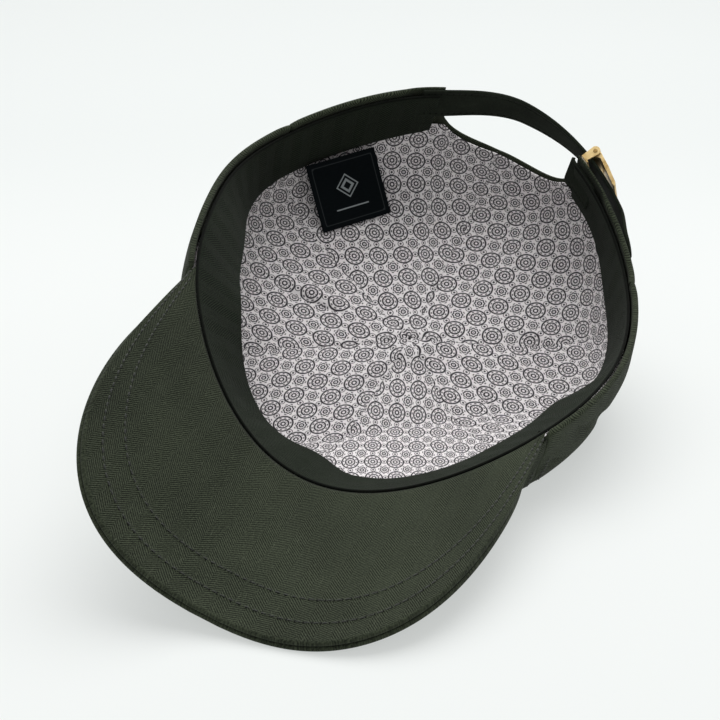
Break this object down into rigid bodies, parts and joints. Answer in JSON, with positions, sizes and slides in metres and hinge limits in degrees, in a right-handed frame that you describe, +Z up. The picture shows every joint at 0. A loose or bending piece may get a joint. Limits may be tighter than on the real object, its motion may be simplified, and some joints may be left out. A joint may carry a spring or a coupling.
{
  "type": "baseball cap",
  "caption": "Soft panelled cap with a curved visor, printed lining, sweatband and back strap with a fold-over buckle, lying upside down.",
  "frame": {"origin": "under the middle of the cap's box, on the surface it lies on", "axes": "+Z up as the cap lies upside down on its crown and the front of its visor; -Y is the side of the visor; +X is the wearer's right, with the buckle"},
  "size_m": [0.1784, 0.277, 0.1221],
  "materials": {
    "shell_twill": "dark olive herringbone twill with paler threads, matt",
    "band_twill": "very dark green twill, matt",
    "strap_twill": "very dark green twill, folded and edge-stitched, matt",
    "printed_lining": "pale cotton printed with dark rings and rosettes, matt",
    "board_plastic": "flexible visor board, matt",
    "label_cloth": "near-black satin woven label",
    "brass": "pale polished brass with fine scratches",
    "plated_steel": "plated pressed steel"
  },
  "bodies": {
    "cap": {"front_left_panel": "shell_twill", "front_left_lining": "printed_lining", "side_left_panel": "shell_twill", "side_left_lining": "printed_lining", "back_left_panel": "shell_twill", "back_left_lining": "printed_lining", "back_right_panel": "shell_twill", "back_right_lining": "printed_lining", "side_right_panel": "shell_twill", "side_right_lining": "printed_lining", "front_right_panel": "shell_twill", "front_right_lining": "printed_lining", "sweatband": "band_twill", "visor_under_cover": "shell_twill", "visor_board": "board_plastic", "visor_top_cover": "shell_twill", "top_button": "shell_twill", "button_prong": "plated_steel", "back_strap": "strap_twill", "buckle_tab": "strap_twill", "buckle_frame": "brass", "buckle_pin": "brass"},
    "lever": {"buckle_lever": "brass"},
    "tail": {"strap_tail": "strap_twill"},
    "label": {"size_label": "label_cloth"}
  },
  "joints": [
    {"name": "lever_hinge", "type": "hinge", "parent": "cap", "child": "lever", "pos_m": [0.04441, 0.12922, 0.0935], "axis": [0.1522, -0.74, 0.6552], "range_deg": [0, 105]},
    {"name": "tail_bend", "type": "hinge", "parent": "cap", "child": "tail", "pos_m": [0.0565, 0.12154, 0.07713], "axis": [0.1401, -0.6465, 0.7499], "range_deg": [0, 60]},
    {"name": "label_bend", "type": "hinge", "parent": "cap", "child": "label", "pos_m": [-0.06104, 0.09456, 0.09], "axis": [-0.6088, -0.7802, -0.1438], "range_deg": [0, 75], "stiffness_Nm_per_rad": 0.0002, "springref_deg": -34.38}
  ]
}
